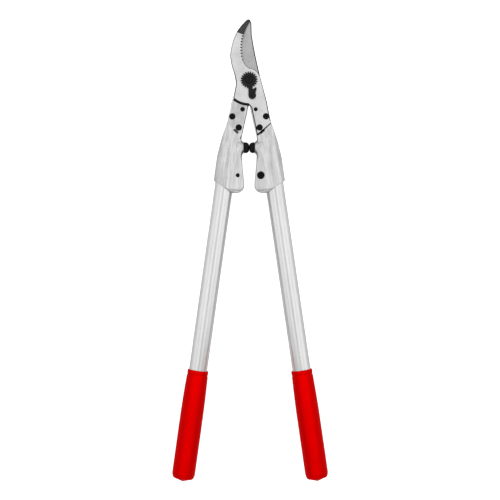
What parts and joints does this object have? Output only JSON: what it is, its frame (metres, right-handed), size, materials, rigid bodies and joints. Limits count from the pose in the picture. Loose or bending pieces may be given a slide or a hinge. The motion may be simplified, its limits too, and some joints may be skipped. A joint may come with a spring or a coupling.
{
  "type": "bypass pruning shear",
  "caption": "Two-hand bypass pruning shear with a hooked counter blade, tubular handles with slip-on grips, rubber stop cushions and a toothed pivot nut.",
  "frame": {"origin": "under the middle of the tool's box, on the surface it lies on", "axes": "+Y points to the blade tips, +X to the hook-side handle, +Z away from the surface the tool lies on; the pivot's axis is along Z"},
  "size_m": [0.2128, 0.6315, 0.0316],
  "materials": {
    "blade_steel": "fine ground",
    "hook_steel": "fine ground",
    "black_steel": "blackened, satin",
    "cast_aluminium": "tumbled casting",
    "tube_aluminium": "satin drawn tube",
    "red_vinyl": "satin soft vinyl",
    "black_rubber": "matt"
  },
  "bodies": {
    "blade_side": {"cutting_blade": "blade_steel", "left_head_casting": "cast_aluminium", "left_tang_rivets": "black_steel", "left_dowel_pin": "black_steel", "left_clamp_screw": "black_steel", "left_cushion": "black_rubber", "left_tube": "tube_aluminium", "left_grip": "red_vinyl"},
    "hook_side": {"counter_blade": "hook_steel", "pivot_bolt": "black_steel", "pivot_washer": "black_steel", "adjusting_nut": "black_steel", "locking_segment": "black_steel", "segment_screw": "black_steel", "right_head_casting": "cast_aluminium", "right_tang_rivets": "black_steel", "right_dowel_pin": "black_steel", "right_clamp_screw": "black_steel", "right_cushion": "black_rubber", "right_tube": "tube_aluminium", "right_grip": "red_vinyl"}
  },
  "joints": [
    {"name": "jaw_pivot", "type": "hinge", "parent": "blade_side", "child": "hook_side", "pos_m": [0, 0.23225, 0.0158], "axis": [0, 0, 1], "range_deg": [0, 60]}
  ]
}
